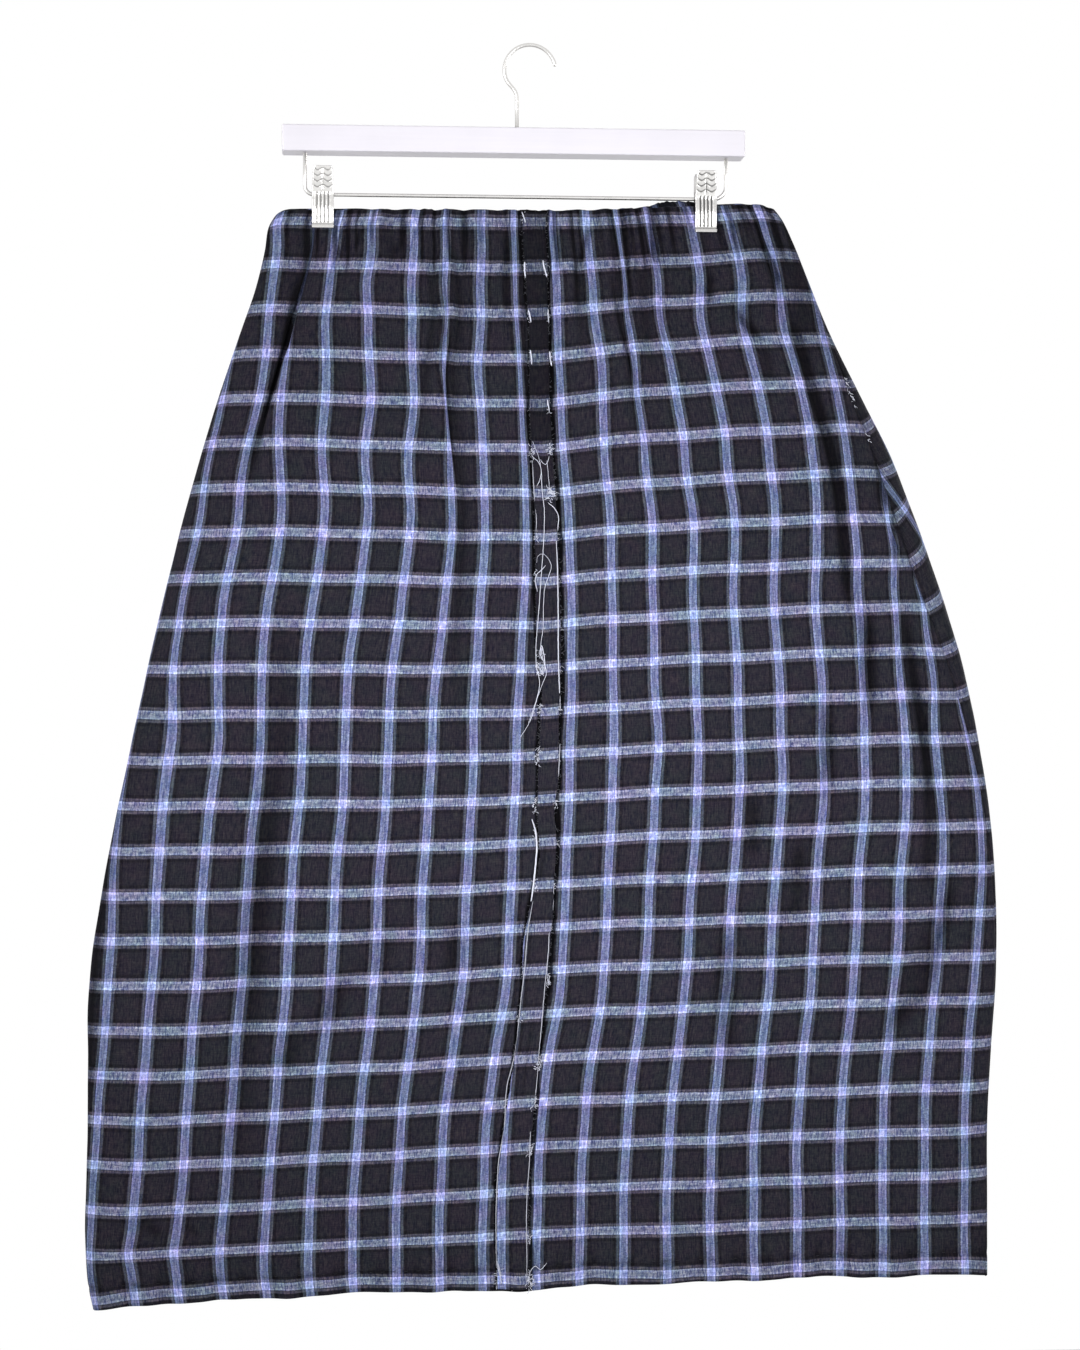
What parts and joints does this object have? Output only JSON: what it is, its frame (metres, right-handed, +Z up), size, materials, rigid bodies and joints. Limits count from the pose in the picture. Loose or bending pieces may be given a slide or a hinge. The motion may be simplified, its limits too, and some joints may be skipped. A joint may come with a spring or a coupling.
{
  "type": "midi skirt on a clip hanger",
  "caption": "Barrel-shaped midi skirt in a windowpane check, with an elastic waist and a raw-edged centre strip, clipped to a white bar hanger with a wire hook.",
  "frame": {"origin": "inner top of the hanger's hook, where the hanger rests on its rail", "axes": "+Z up; the skirt's front faces -Y; +X to the right as seen from the front"},
  "size_m": [0.731, 0.0917, 1.0058],
  "materials": {
    "check_cloth": "plain-woven check suiting, near-black ground with slate-lavender panes, soft and matt",
    "strip_cloth": "the same cloth cut as a narrow strip, raw frayed edges",
    "bar_paint": "white paint on wood, satin",
    "hanger_wire": "bright plated steel wire",
    "clip_metal": "pressed steel plate, bright plated, ribbed"
  },
  "bodies": {
    "root": {"front_left": "check_cloth", "front_right": "check_cloth", "back": "check_cloth", "centre_strip": "strip_cloth", "hanger_bar": "bar_paint", "hanger_hook": "hanger_wire", "clip_rail": "hanger_wire", "clip_left_front_plate": "clip_metal", "clip_left_back_plate": "clip_metal", "clip_left_spring": "clip_metal", "clip_right_front_plate": "clip_metal", "clip_right_back_plate": "clip_metal", "clip_right_spring": "clip_metal"}
  },
  "joints": []
}
